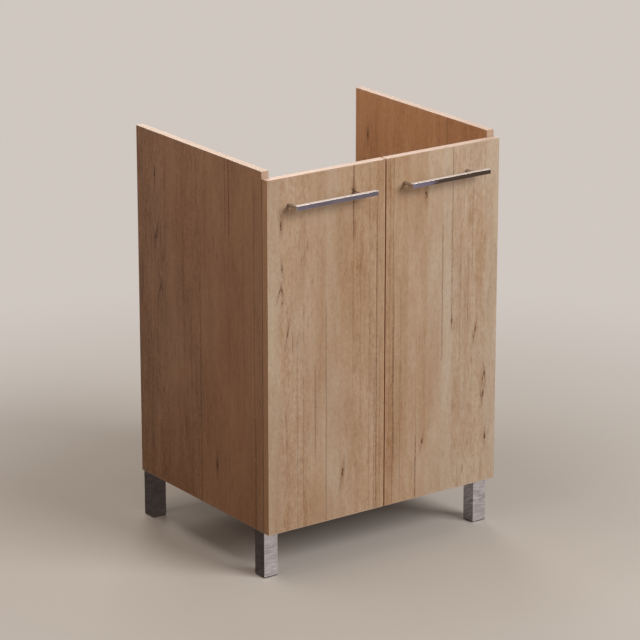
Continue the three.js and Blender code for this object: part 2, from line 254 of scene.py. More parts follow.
def oak_grain() -> bpy.types.NodeTree:
    """Grain of oak cut lengthways: tone, hue, streaks, growth lines, fine lines, mottle, flecks and dashes.

    Returns:
        The effect's tree.
    """
    gives = "Broad, Hue, Streak, Growth, Fine, Mottle, Fleck, Dash, Pores"
    bench, (across, along, depth, seed), out = new_effect("oak grain", "Across, Along, Depth, Seed", gives)

    def layer(fine: float, long: float, offset: float, *look: float) -> Socket:
        """One layer, from its cells per metre across and along, its offset, detail, roughness and bend."""
        side, rise = bench.scaled(across, fine, offset), bench.scaled(along, long, seed)
        return bench.noise(bench.point(side, rise, bench.scaled(depth, fine, seed)), *look)

    layers = {
        "Broad": (14, 3.4, 3.1, 3, 0.5, 0.5), "Hue": (10, 2.6, 11.7, 2, 0.5, 0.4),
        "Streak": (70, 4.2, 5.3, 5, 0.66, 0.6), "Fine": (480, 20, 2.2, 3, 0.6, 0.3),
        "Mottle": (48, 15, 7.7, 5, 0.7, 0.9), "Fleck": (210, 105, 13.6, 3, 0.65, 0.4),
    }
    for name, values in layers.items():
        bench.wire(layer(*values), out[name])
    lines_per_metre, swing = 470.0, 34.0
    turn = bench.scaled(layer(11, 1.7, 17.9, 3, 0.55), swing, bench.times(across, lines_per_metre))
    bench.wire(bench.scaled(bench.sum_of("SINE", turn), 0.5, 0.5), out["Growth"])
    bench.wire(bench.eased(layer(205, 23, 21.3, 4, 0.64, 0.5), 0.54, 0.74), out["Dash"])
    bench.wire(bench.eased(layer(1500, 70, 9.4, 2), 0.58, 0.7), out["Pores"])
    return bench.tree


def plank_seam() -> bpy.types.NodeTree:
    """One upright joint line between two planks of the decor, over part of the board's length.

    Returns:
        The effect's tree.
    """
    bench, (across, along, ragged, at, low, high, width, strength), out = new_effect(
        "plank seam", "Across, Along, Break, At, Low, High, Width, Strength", "Line")
    taper = 0.05
    away = bench.sum_of("ABSOLUTE", bench.minus(across, at))
    line = bench.eased(away, bench.times(width, 0.3), width, 1.0, 0.0)
    start = bench.eased(along, bench.minus(low, taper), low)
    end = bench.eased(along, high, bench.plus(high, taper), 1.0, 0.0)
    worn = bench.eased(ragged, 0.3, 0.66, 0.2, 0.9)
    bench.wire(bench.times(line, start, end, worn, strength), out["Line"])
    return bench.tree


def knot_eye() -> bpy.types.NodeTree:
    """One knot of the decor: dark slit, brown halo, and how far the grain bends round it.

    Returns:
        The effect's tree.
    """
    bench, (across, along, ragged, at, height, width, length, tilt), out = new_effect(
        "knot eye", "Across, Along, Ragged, At, Height, Width, Length, Tilt", "Slit, Halo, Bend")
    rise = bench.minus(along, height)
    aside = bench.scaled(rise, tilt, bench.minus(across, at))
    wide, tall = bench.square(aside, width), bench.square(rise, length)
    reach = bench.sum_of("SQRT", bench.plus(wide, tall))
    ragged = bench.scaled(ragged, 5.6, -2.9)
    bench.wire(bench.eased(bench.plus(reach, ragged), 0.3, 1.25, 1.0, 0.0), out["Slit"])
    around = bench.sum_of("SQRT", bench.scaled(tall, 0.16, bench.times(wide, 0.34)))
    bench.wire(bench.eased(bench.scaled(ragged, 0.55, around), 0.3, 2.1, 1.0, 0.0), out["Halo"])
    bench.wire(bench.times(aside, bench.eased(reach, 0.0, 6.0, -0.72, 0.0)), out["Bend"])
    return bench.tree


def brown_patch() -> bpy.types.NodeTree:
    """A long mottled brown patch where the wood is stained.

    Returns:
        The effect's tree.
    """
    bench, (across, along, mottle, fleck, dash, at, height, width, length, strength), out = new_effect(
        "brown patch", "Across, Along, Mottle, Fleck, Dash, At, Height, Width, Length, Strength", "Stain")
    aside = bench.square(bench.minus(across, at), width)
    rise = bench.square(bench.minus(along, height), length)
    inside = bench.eased(bench.sum_of("SQRT", bench.plus(aside, rise)), 0.15, 1.1, 1.0, 0.0)
    grains = bench.scaled(dash, 0.3, bench.scaled(fleck, 0.5, bench.times(mottle, 0.45)))
    bench.wire(bench.times(inside, bench.eased(grains, 0.42, 0.84), strength), out["Stain"])
    return bench.tree


def edge_band() -> bpy.types.NodeTree:
    """Where a board's banded edges are, from its limits across and along the grain.

    Returns:
        The effect's tree.
    """
    bench, (across, along, left, right, bottom, top, thickness), out = new_effect(
        "edge band", "Across, Along, Left, Right, Bottom, Top, Thickness", "Band, Ends, Joint, Rim")

    def inset(value: Wire, low: Wire, high: Wire) -> Socket:
        """How far a place lies inside two limits."""
        return bench.sum_of("MINIMUM", bench.minus(value, low), bench.minus(high, value))

    joint, joint_fade, rim = 0.00005, 0.0003, 0.004
    sides, ends = inset(across, left, right), inset(along, bottom, top)
    nearest = bench.sum_of("MINIMUM", sides, ends)
    bench.wire(bench.sum_of("LESS_THAN", nearest, thickness), out["Band"])
    bench.wire(bench.sum_of("LESS_THAN", ends, thickness), out["Ends"])
    off = bench.sum_of("ABSOLUTE", bench.minus(nearest, thickness))
    bench.wire(bench.eased(off, joint, joint_fade, 1.0, 0.0), out["Joint"])
    bench.wire(bench.eased(nearest, 0.0, rim, 1.0, 0.0), out["Rim"])
    return bench.tree


def handled_surface() -> bpy.types.NodeTree:
    """Faint smudges and fine marks that handling leaves on a hard smooth surface.

    Returns:
        The effect's tree.
    """
    bench, (place, scale, roughness, smudge, marks), out = new_effect(
        "handled surface", "Place, Scale, Roughness, Smudge, Marks", "Roughness, Shade, Height")
    spot = bench.add("ShaderNodeVectorMath", {0: place, "Scale": scale}, operation="SCALE").outputs[0]
    clouds = bench.noise(spot, 4, 0.6, 0.4)
    lines = bench.noise(bench.vector("MULTIPLY", spot, (3.0, 40.0, 25.0)).outputs[0], 3, 0.6)
    rough = bench.scaled(bench.eased(clouds, 0.35, 0.75), smudge, roughness)
    bench.wire(bench.scaled(lines, marks, rough, clamp=True), out["Roughness"])
    bench.wire(bench.eased(clouds, 0.25, 0.8), out["Shade"])
    bench.wire(bench.scaled(lines, 0.5, bench.times(clouds, 0.5)), out["Height"])
    return bench.tree


class Effect(Enum):
    """The shared effects by name, with what makes each one."""

    GRAIN = ("oak grain", oak_grain)
    SEAM = ("plank seam", plank_seam)
    KNOT = ("knot eye", knot_eye)
    PATCH = ("brown patch", brown_patch)
    BAND = ("edge band", edge_band)
    HANDLED = ("handled surface", handled_surface)

    def tree(self) -> bpy.types.NodeTree:
        """Node group of this effect, made on first use."""
        name, make = self.value
        return bpy.data.node_groups.get(name) or make()


# ---------------------------------------------------------------- finishes


def new_material(name: str) -> tuple[bpy.types.Material, Bench, bpy.types.Node]:
    """Starts a material with an empty tree and a Principled shader.

    Args:
        name: the material's name.

    Returns:
        The material, its bench and the shader.
    """
    material = bpy.data.materials.new(name)
    material.use_nodes = True
    bench = Bench(material.node_tree)
    shader = bench.add("ShaderNodeBsdfPrincipled")
    bench.add("ShaderNodeOutputMaterial", {"Surface": shader.outputs[0]}, name="surface")
    return material, bench, shader


class Lie(Enum):
    """How a board lies: axes across the grain, along it and through the board."""

    DOOR = (0, 2, 1)
    SIDE = (1, 2, 0)
    SHELF = (1, 0, 2)
    RAIL = (2, 0, 1)


@dataclass(frozen=True)
class Plank:
    """One plank of the decor, from its edge onwards: how light, how warm and how streaky it is, 0 to 1."""

    edge: float
    light: float
    warm: float
    busy: float = 0.5


@dataclass(frozen=True)
class Seam:
    """A joint line of the decor, in millimetres across and along the board."""

    at: float
    low: float
    high: float
    width: float = 1.6
    strength: float = 0.6


@dataclass(frozen=True)
class Knot:
    """A knot of the decor, in millimetres, with its lean."""

    at: float
    height: float
    width: float = 1.6
    length: float = 5.0
    tilt: float = 0.0


@dataclass(frozen=True)
class Patch:
    """A brown stained patch of the decor, in millimetres."""

    at: float
    height: float
    width: float
    length: float
    strength: float = 0.7


def set_of(kind: type, *rows: tuple[float, ...]) -> tuple:
    """Several planks, seams, knots or patches, one from each row of values."""
    return tuple(kind(*row) for row in rows)


def own_values(mark: Seam | Knot | Patch) -> dict[str, float]:
    """A mark's values under its effect's input names, lengths in metres."""
    shares = ("tilt", "strength")
    return {name.capitalize(): value * (1 if name in shares else MM) for name, value in asdict(mark).items()}


@dataclass(frozen=True)
class OakDecor:
    """Knotty straw-coloured oak decor on one board, with its banded edges."""

    name: str
    lie: Lie
    seed: float
    planks: tuple[Plank, ...]
    seams: tuple[Seam, ...] = ()
    knots: tuple[Knot, ...] = ()
    patches: tuple[Patch, ...] = ()
    straw: Shades = tones((141, 109, 80), (168, 142, 117), (184, 166, 147))
    tan: Shades = tones((144, 104, 72), (171, 139, 109), (188, 163, 137))
    # True where the near face's tones paint light or shade onto it, and the far face keeps the usual tones.
    usual_far_side: bool = False
    stain: Colour = paint(122, 84, 55)
    line: Colour = paint(92, 60, 38)
    slit: Colour = paint(78, 43, 20)
    end_band: Colour = paint(213, 188, 172)
    # Browner than the panels' banding: on the doors' upright edges it is partly the banding's own colour and
    # partly painted shade.
    side_band: Colour = paint(198, 156, 121)
    band_thickness: float = 0.6
    contrast: float = 1.0

    def material(self, low: Vector, high: Vector) -> bpy.types.Material:
        """Makes the decor for a board.

        Args:
            low: the board's lowest corner in metres.
            high: its highest corner.

        Returns:
            The material.
        """
        material, bench, shader = new_material(f"oak_decor_{self.name}")
        across, along, through = self.lie.value
        places = bench.parts(bench.place())
        # The far side is cut from another part of the decor, and the grain wanders a little; on boards with
        # painted light the far side also keeps the usual tones.
        far = bench.sum_of("GREATER_THAN", places[through], (low[through] + high[through]) / 2)
        v = bench.scaled(far, 0.291, places[along])
        wander = bench.noise(bench.point(self.seed, bench.times(v, 7.0), 0.0), 3)
        u = bench.scaled(wander, 0.004, bench.minus(bench.scaled(far, -0.173, places[across]), 0.002))
        ragged = bench.noise(bench.point(bench.times(u, 440.0), bench.times(v, 190.0), self.seed), 3, 0.65)
        where = {"Across": u, "Along": v}

        eyes = [bench.use(Effect.KNOT, where | {"Ragged": ragged} | own_values(knot)) for knot in self.knots]
        slit, halo = (bench.most(0.0, *(eye[mark] for eye in eyes)) for mark in ("Slit", "Halo"))
        bent = bench.plus(u, *(eye["Bend"] for eye in eyes))
        depth = {"Depth": places[through], "Seed": self.seed}
        grain = bench.use(Effect.GRAIN, {"Across": bent, "Along": v} | depth)
        light, warm, busy = bench.parts(self.plank_scale(bench, u, low[across], high[across]))
        lively = bench.scaled(busy, 1.1, 0.42)
        colour = self.wood_colour(bench, grain, light, warm, lively, far)

        mottled = bench.times(bench.eased(grain["Mottle"], 0.58, 0.8), busy, 0.5)
        spots = where | {name: grain[name] for name in ("Mottle", "Fleck", "Dash")}
        stains = [bench.use(Effect.PATCH, spots | own_values(patch))["Stain"] for patch in self.patches]
        broken = where | {"Break": ragged}
        lines = [bench.use(Effect.SEAM, broken | own_values(seam))["Line"] for seam in self.seams]
        seams = bench.most(0.0, *lines)
        band = bench.use(Effect.BAND, {
            "Across": places[across], "Along": places[along], "Left": low[across], "Right": high[across],
            "Bottom": low[along], "Top": high[along], "Thickness": self.band_thickness * MM,
        })
        marks = (
            (bench.most(mottled, *stains), self.stain),
            (bench.times(halo, 0.42), self.stain),
            (bench.times(grain["Dash"], lively, 0.36), self.stain),
            (bench.times(grain["Pores"], 0.28), self.line),
            (seams, self.line),
            (bench.times(slit, 0.96), self.slit),
            (bench.times(band["Rim"], 0.16), self.end_band),
            (band["Band"], self.band_colour(bench, places, band["Ends"])),
            (bench.times(band["Joint"], 0.3), self.line),
        )
        for share, shade in marks:
            colour = bench.blend(share, colour, shade)
        bench.wire(colour, shader.inputs["Base Color"])
        rough = bench.scaled(grain["Streak"], 0.16, 0.44)
        bench.wire(bench.scaled(grain["Pores"], 0.15, rough), shader.inputs["Roughness"])
        height = bench.scaled(grain["Pores"], -0.8, bench.times(grain["Fine"], 0.5))
        height = bench.minus(height, bench.most(slit, seams))
        bench.wire(bench.bump(height, 0.35, 0.0002), shader.inputs["Normal"])
        shader.inputs["Specular IOR Level"].default_value = 0.28
        return material

    def wood_colour(self, bench: Bench, grain: dict[str, Socket], light: Wire, warm: Wire, lively: Wire,
                    far: Wire) -> Socket:
        """Colour of the bare wood, with painted light or shade on the near face of boards that have it.

        Args:
            bench: the material's bench.
            grain: the grain's layers.
            light: how light the plank is, 0 to 1.
            warm: how warm it is, 0 to 1.
            lively: how strongly the grain shows.
            far: 1 on the board's far side.

        Returns:
            The socket with the colour.
        """
        tone = bench.scaled(bench.minus(grain["Broad"], 0.5), 0.8, light)
        layers = {"Streak": 0.46, "Growth": 0.03, "Fine": 0.16, "Mottle": 0.5, "Fleck": 0.6}
        for layer, strength in layers.items():
            middle = bench.times(bench.minus(grain[layer], 0.5), lively)
            tone = bench.scaled(middle, strength * self.contrast, tone)
        hue = bench.scaled(bench.minus(grain["Hue"], 0.5), 1.2, warm, clamp=True)

        def wood(*woods: Shades) -> Socket:
            """Colour between a cool and a warm wood."""
            scales = (list(zip((0.1, 0.5, 0.9), shades)) for shades in woods)
            return bench.blend(hue, *(bench.shades(tone, scale) for scale in scales))

        # Boards with painted light keep the lit or shaded tones on the near face and the usual tones on the far
        # face.
        near = wood(self.straw, self.tan)
        if not self.usual_far_side:
            return near
        return bench.blend(far, near, wood(OakDecor.straw, OakDecor.tan))

    def plank_scale(self, bench: Bench, across: Wire, low: float, high: float) -> Socket:
        """Reads the plank that a place lies on.

        Args:
            bench: the material's bench.
            across: the place across the board.
            low: the board's lower limit across.
            high: its upper limit.

        Returns:
            Lightness, warmth and streakiness of the plank, as the parts of a colour.
        """
        limits = {"Value": across, "From Min": low, "From Max": high}
        share = bench.add("ShaderNodeMapRange", limits).outputs[0]
        stops: list[tuple[float, Colour]] = []
        soft = 0.009
        edges = [(plank.edge * MM - low) / (high - low) for plank in self.planks] + [1.0]
        for plank, edge, following in zip(self.planks, edges, edges[1:]):
            value = (plank.light, plank.warm, plank.busy, 1.0)
            stops += [(max(edge + soft, 0.0), value), (following - soft, value)]
        return bench.shades(share, stops)

    def band_colour(self, bench: Bench, places: tuple[Wire, ...], ends: Wire) -> Socket:
        """Colour of the banding, with faint lines that follow the edge.

        Args:
            bench: the material's bench.
            places: the place on the board.
            ends: 1 on the edges across the grain.

        Returns:
            The socket with the colour.
        """
        across, along, through = self.lie.value
        run = bench.scaled(ends, bench.minus(places[across], places[along]), places[along])
        line_place = bench.point(bench.times(run, 9.0), bench.times(places[through], 480.0), self.seed)
        lines = bench.noise(line_place, 4, 0.6)
        shade = bench.shades(lines, [(0.25, paint(208, 204, 200)), (0.75, paint(255, 255, 255))])
        return bench.blend(1.0, bench.blend(ends, self.side_band, self.end_band), shade, "MULTIPLY")


@dataclass(frozen=True)
class HardFinish:
    """A hard plain finish with handling marks: bright or dull metal, plastic or rubber."""

    name: str
    slot: str
    light: Colour
    dark: Colour
    roughness: float
    smudge: float
    marks: float
    metallic: float = 1.0
    scale: float = 30.0
    relief: float = 0.00002
    see_through: float = 0.0
    # Pale dull colour on faces that look up: a painted highlight along the top.
    satin_top: Colour | None = None

    def material(self) -> bpy.types.Material:
        """Makes the finish on first use; with a painted top highlight, faces that look up are pale and dull.

        Returns:
            The material.
        """
        made = bpy.data.materials.get(self.name)
        if made:
            return made
        material, bench, shader = new_material(self.name)
        worn = bench.use(Effect.HANDLED, {
            "Place": bench.place(), "Scale": self.scale, "Roughness": self.roughness, "Smudge": self.smudge,
            "Marks": self.marks,
        })
        colour, rough = bench.blend(worn["Shade"], self.dark, self.light), worn["Roughness"]
        shader.inputs["Metallic"].default_value = self.metallic
        if self.satin_top:
            # Faces that look up get a painted highlight: pale, dull and hardly metallic.
            upward = bench.parts(bench.add("ShaderNodeTexCoord").outputs["Normal"])[2]
            top = bench.eased(upward, 0.55, 0.95)
            colour = bench.blend(top, colour, self.satin_top)
            rough = bench.scaled(top, 0.4, rough)
            bench.wire(bench.scaled(top, -0.85, self.metallic), shader.inputs["Metallic"])
        bench.wire(colour, shader.inputs["Base Color"])
        bench.wire(rough, shader.inputs["Roughness"])
        bench.wire(bench.bump(worn["Height"], 0.25, self.relief), shader.inputs["Normal"])
        shader.inputs["Transmission Weight"].default_value = self.see_through
        return material


MIRROR_CHROME = HardFinish(
    "mirror_chrome", "chrome", paint(200, 198, 199), paint(184, 182, 184), 0.03, 0.04, 0.02)
# The bars' tops carry a painted highlight.
BAR_CHROME = replace(MIRROR_CHROME, name="bar_chrome_painted_top", satin_top=paint(208, 197, 191))
NICKEL = HardFinish(
    "stamped_nickel", "nickel", paint(196, 194, 190), paint(168, 166, 164), 0.2, 0.14, 0.08)
ZINC = HardFinish(
    "cast_zinc", "zinc", paint(176, 178, 182), paint(142, 145, 150), 0.34, 0.18, 0.1, scale=60.0)
STEEL = HardFinish(
    "bright_zinc_screw", "zinc", paint(200, 202, 206), paint(168, 170, 176), 0.2, 0.12, 0.1, scale=90.0)
RUBBER = HardFinish(
    "clear_rubber", "clear_rubber", paint(222, 219, 211), paint(206, 202, 194), 0.25, 0.12, 0.05,
    metallic=0.0, scale=60.0, see_through=0.35)
NYLON = HardFinish(
    "black_nylon", "black_nylon", paint(46, 46, 49), paint(33, 33, 36), 0.42, 0.16, 0.1,
    metallic=0.0, scale=70.0, relief=0.00005)
CAP_PLASTIC = HardFinish(
    "oak_cap_plastic", "oak_decor", paint(178, 148, 118), paint(166, 136, 106), 0.38, 0.1, 0.06,
    metallic=0.0, scale=80.0, relief=0.00004)


# ---------------------------------------------------------------- making pieces


def put(name: str, data: bpy.types.ID) -> bpy.types.Object:
    """Puts a new object into the scene.

    Args:
        name: its name.
        data: its mesh, lamp or lens.

    Returns:
        The object.
    """
    thing = bpy.data.objects.new(name, data)
    bpy.context.scene.collection.objects.link(thing)
    return thing


def made_up(work: bmesh.types.BMesh, name: str) -> bpy.types.Mesh:
    """Closes mesh work.

    Args:
        work: the work, which is freed.
        name: the mesh's name.

    Returns:
        The mesh.
    """
    mesh = bpy.data.meshes.new(name)
    work.to_mesh(mesh)
    work.free()
    return mesh


def finish_node(node: str, material: bpy.types.Material, width: float, segments: int = 2) -> None:
    """Rounds a CAD node's sharp edges and gives it a finish.

    Args:
        node: the node's name.
        material: its new material.
        width: width of the rounding in millimetres.
        segments: faces over the rounding.
    """
    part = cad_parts[node]
    part.modifiers.new("join corners", "WELD").merge_threshold = 1e-6
    bevel = part.modifiers.new("broken edges", "BEVEL")
    bevel.width, bevel.segments = width * MM, segments
    bevel.limit_method, bevel.angle_limit = "ANGLE", ROUNDED_FROM
    shading = part.modifiers.new("even shading", "WEIGHTED_NORMAL")
    shading.weight, shading.keep_sharp = 100, False
    for place in part.material_slots:
        place.material = material
    log.info("%s: %s", node, material.name)


def add_piece(name: str, mesh: bpy.types.Mesh, body: str, finish: HardFinish,
              place: Matrix) -> bpy.types.Object:
    """Puts a new piece on a body.

    Args:
        name: the piece's name.
        mesh: its mesh, which several pieces may share.
        body: CAD body that it moves with.
        finish: what it is made of.
        place: where it goes, in metres.

    Returns:
        The new object.
    """
    piece = put(name, mesh)
    if not mesh.materials:
        mesh.materials.append(finish.material())
    piece.matrix_world = place
    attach(piece, body)
    log.info("%s: %s, on %s", name, finish.name, body)
    return piece


def facing(x: float, y: float, z: float, way: Point, turn: float = 0.0) -> Matrix:
    """A place in millimetres with the piece's own +Z pointing a given way, turned about it in degrees."""
    aim = Vector(way).to_track_quat("Z", "Y").to_matrix().to_4x4()
    return Matrix.Translation(Vector((x, y, z)) * MM) @ aim @ Matrix.Rotation(math.radians(turn), 4, "Z")


def turned(name: str, profile: list[tuple[float, float]], sides: int = 48) -> bpy.types.Mesh:
    """Turns a profile about Z, as on a lathe.

    Args:
        name: mesh name.
        profile: radius and height pairs in millimetres, from one end of the outline to the other.
        sides: facets round the piece.

    Returns:
        A smooth-shaded closed mesh.
    """
    work = bmesh.new()
    turns = [2 * math.pi * i / sides for i in range(sides)]
    round_about = [(math.cos(turn), math.sin(turn)) for turn in turns]
    rings = [
        [work.verts.new((radius * MM * x, radius * MM * y, height * MM)) for x, y in round_about]
        if radius else [work.verts.new((0, 0, height * MM))]
        for radius, height in profile
    ]
    for first, second in zip(rings, rings[1:]):
        for i in range(sides):
            j = (i + 1) % sides
            steps = ((first, i), (first, j), (second, j), (second, i))
            distinct = list(dict.fromkeys(ring[step % len(ring)] for ring, step in steps))
            if len(distinct) > 2:
                work.faces.new(distinct)
    bmesh.ops.recalc_face_normals(work, faces=work.faces)
    for face in work.faces:
        face.smooth = True
    for edge in work.edges:
        edge.smooth = edge.calc_face_angle(0.0) < CRISP_FROM
    return made_up(work, name)


@dataclass(frozen=True)
class Screw:
    """A cross-recessed screw with a domed head; its seat is at height 0 and the head looks up."""

    name: str
    head_radius: float
    head_height: float
    shank_radius: float
    shank_length: float

    def recess(self) -> bpy.types.Mesh:
        """Makes the cutter of the cross recess.

        Returns:
            The cutter's mesh.
        """
        long, short, taper = self.head_radius * 0.575, self.head_radius * 0.14, 0.62
        top, bottom = self.head_height + 1, self.head_height * 0.25
        arm = [(long, -short), (long, short), (short, short)]
        quarters = ((1, 0), (0, 1), (-1, 0), (0, -1))
        outline = [(x * c - y * s, x * s + y * c) for c, s in quarters for x, y in arm]
        work = bmesh.new()
        above = [work.verts.new((x * MM, y * MM, top * MM)) for x, y in outline]
        below = [work.verts.new((x * taper * MM, y * taper * MM, bottom * MM)) for x, y in outline]
        work.faces.new(above)
        work.faces.new(below[::-1])
        for i, corner in enumerate(above):
            work.faces.new((above[i - 1], below[i - 1], below[i], corner))
        bmesh.ops.recalc_face_normals(work, faces=work.faces)
        return made_up(work, "cross recess cutter")

    def mesh(self) -> bpy.types.Mesh:
        """Makes the screw on first use.

        Returns:
            The screw's mesh, which its copies share.
        """
        made = bpy.data.meshes.get(self.name)
        if made:
            return made
        r, h, shank, point = self.head_radius, self.head_height, self.shank_radius, -self.shank_length
        profile = [(0, point), (shank, point), (shank, 0), (r, 0), (r, 0.12), (r, h * 0.45),
                   (r * 0.94, h * 0.7), (r * 0.78, h * 0.9), (r * 0.5, h * 0.98), (0, h)]
        body = put("screw blank", turned("screw blank", profile, 32))
        cutter = put("recess", self.recess())
        bore = body.modifiers.new("recess", "BOOLEAN")
        bore.operation, bore.solver, bore.object = "DIFFERENCE", "EXACT", cutter
        bpy.context.view_layer.update()
        mesh = bpy.data.meshes.new_from_object(body.evaluated_get(bpy.context.evaluated_depsgraph_get()))
        mesh.name = self.name
        for item in (body, cutter):
            blank = item.data
            bpy.data.objects.remove(item)
            bpy.data.meshes.remove(blank)
        return mesh


HANDLE_SCREW = Screw("handle screw", 4.0, 2.3, 2.0, 24.4)
EAR_SCREW = Screw("hinge ear screw", 3.3, 1.3, 1.6, 3.0)
PLATE_SCREW = Screw("hinge plate screw", 3.6, 1.5, 1.8, 3.0)
ARM_SCREW = Screw("hinge arm screw", 3.4, 1.2, 2.0, 3.0)
LEG_SCREW = Screw("leg plate screw", 3.8, 1.7, 1.8, 3.0)


# ---------------------------------------------------------------- boards


@dataclass
class Carcass:
    """Side panels, bottom panel and rails with their cam fittings and cover caps."""

    width: float = 600.0
    board: float = 18.0
    front_y: float = -208.5
    back_y: float = 263.5
    bottom_z: float = 105.0
    rail_z: dict[str, float] = field(default_factory=lambda: {
        "front_rail": 825.0, "back_rail_upper": 600.0, "back_rail_lower": 163.3})
    cam_from_board_end: float = 34.0
    cam_from_corner: float = 110.0
    cap_radius: float = 8.6
    cap_rise: float = 0.9
    # Darker tones that paint shade into the left panel's outside.
    deep_straw: Shades = tones((130, 96, 71), (163, 128, 101), (182, 151, 125))
    deep_tan: Shades = tones((132, 91, 64), (166, 124, 93), (186, 147, 113))
    # Warm orange tones that paint bounced light into the right panel's inside.
    warm_tan: Shades = tones((155, 106, 71), (190, 140, 99), (205, 162, 121))
    side_band: Colour = paint(196, 168, 146)
    board_rounding: float = 0.35
    cam_rounding: float = 0.3

    def left_decor(self) -> OakDecor:
        """Lays out the left side panel's outside, with its shade painted into darker tones.

        Returns:
            The panel's decor.
        """
        planks = set_of(Plank, (-208.5, 0.52, 0.6, 0.5), (-181, 0.56, 0.85, 0.4), (-88, 0.5, 0.8, 0.5),
                        (22, 0.44, 0.6, 0.9), (90, 0.5, 0.5, 0.6), (150, 0.4, 0.45, 1.0))
        seams = set_of(Seam, (-88, 740, 890, 3.4, 0.95), (-74, 760, 890, 2.6, 0.7), (-86, 420, 740, 2.2, 0.35),
                       (-180, 105, 822, 2.8, 0.65), (-184, 105, 330, 3.4, 0.6), (-166, 105, 540, 2.4, 0.4),
                       (-141, 300, 800, 2.4, 0.4), (22, 105, 587, 2.8, 0.6), (58, 105, 560, 2.4, 0.4),
                       (2, 700, 890, 2.2, 0.35), (258, 105, 890, 2.4, 0.4), (110, 105, 420, 2.2, 0.3))
        knots = set_of(Knot, (194, 797, 1.3, 6), (190, 664, 2.0, 11, 0.3), (196, 652, 1.4, 9, -0.25),
                       (172, 552, 1.5, 9, -0.4), (178, 546, 1.2, 8, 0.35), (-37, 208, 2.4, 9))
        patches = set_of(Patch, (190, 690, 46, 150, 0.7), (176, 500, 40, 120, 0.6), (66, 400, 34, 200, 0.5),
                         (130, 300, 40, 160, 0.4))
        # The outside's darker tones are painted shade; the inside keeps the usual tones.
        return OakDecor("side_left_painted_shade", Lie.SIDE, 4.3, planks, seams, knots, patches,
                        self.deep_straw, self.deep_tan, usual_far_side=True, stain=paint(98, 66, 50),
                        end_band=paint(199, 177, 161), side_band=self.side_band, contrast=0.9)

    def right_decor(self) -> OakDecor:
        """Lays out the right side panel's inside, with bounced light painted into warm orange tones.

        Returns:
            The panel's decor.
        """
        planks = set_of(Plank, (-208.5, 0.42, 0.9), (-70, 0.55, 0.7), (60, 0.6, 0.6), (146, 0.52, 0.7))
        seams = set_of(Seam, (-70, 105, 890, 2.2, 0.7), (146, 300, 890, 1.4, 0.3), (-128, 600, 890, 1.4, 0.25),
                       (40, 105, 560, 1.6, 0.3))
        knots = set_of(Knot, (218, 792, 2.4, 9), (120, 610, 3, 8, 0.1), (-30, 420, 2.4, 8))
        # The inside's warm orange tones are painted bounce light; the outside keeps the usual tones.
        return OakDecor("side_right_painted_bounce", Lie.SIDE, 9.1, planks, seams, knots, (Patch(190, 800, 40, 90, 0.3),),
                        self.warm_tan, self.warm_tan, usual_far_side=True, stain=paint(112, 72, 46),
                        side_band=self.side_band, contrast=1.1)

    def dress(self) -> None:
        """Gives every board its decor."""
        bottom = OakDecor(
            "bottom", Lie.SHELF, 13.7,
            set_of(Plank, (-208.5, 0.5, 0.5), (-60, 0.58, 0.4), (90, 0.5, 0.6)),
            set_of(Seam, (-60, -300, 120, 1.6, 0.5), (90, -120, 300, 1.6, 0.5)),
            set_of(Knot, (-120, 90, 2.2, 8), (30, -140, 2.4, 9), (170, 60, 2.0, 7)))
        boards = {"side_panel_left": self.left_decor(), "side_panel_right": self.right_decor()}
        boards["bottom_panel"] = bottom
        rails = {"front_rail": (17.2, 60.0, 118.0), "back_rail_upper": (21.4, 80.0, -164.0),
                 "back_rail_lower": (25.9, 80.0, 36.0)}
        for name, (seed, height, eye) in rails.items():
            middle = self.rail_z[name]
            joint = middle + eye / 12
            boards[name] = OakDecor(
                name, Lie.RAIL, seed, set_of(Plank, (middle - height / 2, 0.52, 0.5), (joint, 0.5, 0.65)),
                set_of(Seam, (joint, eye - 120, eye + 170, 1.4, 0.35)),
                set_of(Knot, (middle - eye / 10, eye, 1.6, 6, 0.1),
                       (middle + eye / 14, eye - 146, 1.2, 7, -0.1)))
        for name, decor in boards.items():
            finish_node(name, decor.material(*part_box(name)), self.board_rounding)

    def build_caps(self) -> None:
        """Gives the cam fittings their metal and puts a cover cap on each."""
        r, rise = self.cap_radius, self.cap_rise
        cap = turned("cam cover cap", [(0, 0.02), (r, 0.02), (r, rise * 0.35), (r * 0.96, rise * 0.62),
                                       (r * 0.82, rise * 0.88), (r * 0.5, rise * 0.98), (0, rise)])
        places = {
            "bottom_front": (self.front_y + self.cam_from_corner, self.bottom_z, (0, 0, -1)),
            "bottom_back": (self.back_y - self.cam_from_corner, self.bottom_z, (0, 0, -1)),
            "front_rail": (self.front_y + self.board, self.rail_z["front_rail"], (0, 1, 0)),
            "back_rail_upper": (self.back_y - self.board, self.rail_z["back_rail_upper"], (0, -1, 0)),
            "back_rail_lower": (self.back_y - self.board, self.rail_z["back_rail_lower"], (0, -1, 0)),
        }
        for hand, side in HANDS.items():
            x = side * (self.width / 2 - self.board - self.cam_from_board_end)
            for place, (y, z, way) in places.items():
                add_piece(f"cam_cap_{place}_{hand}", cap, "cabinet", CAP_PLASTIC, facing(x, y, z, way))
                finish_node(f"cam_fitting_{place}_{hand}", ZINC.material(), self.cam_rounding)


# ---------------------------------------------------------------- doors


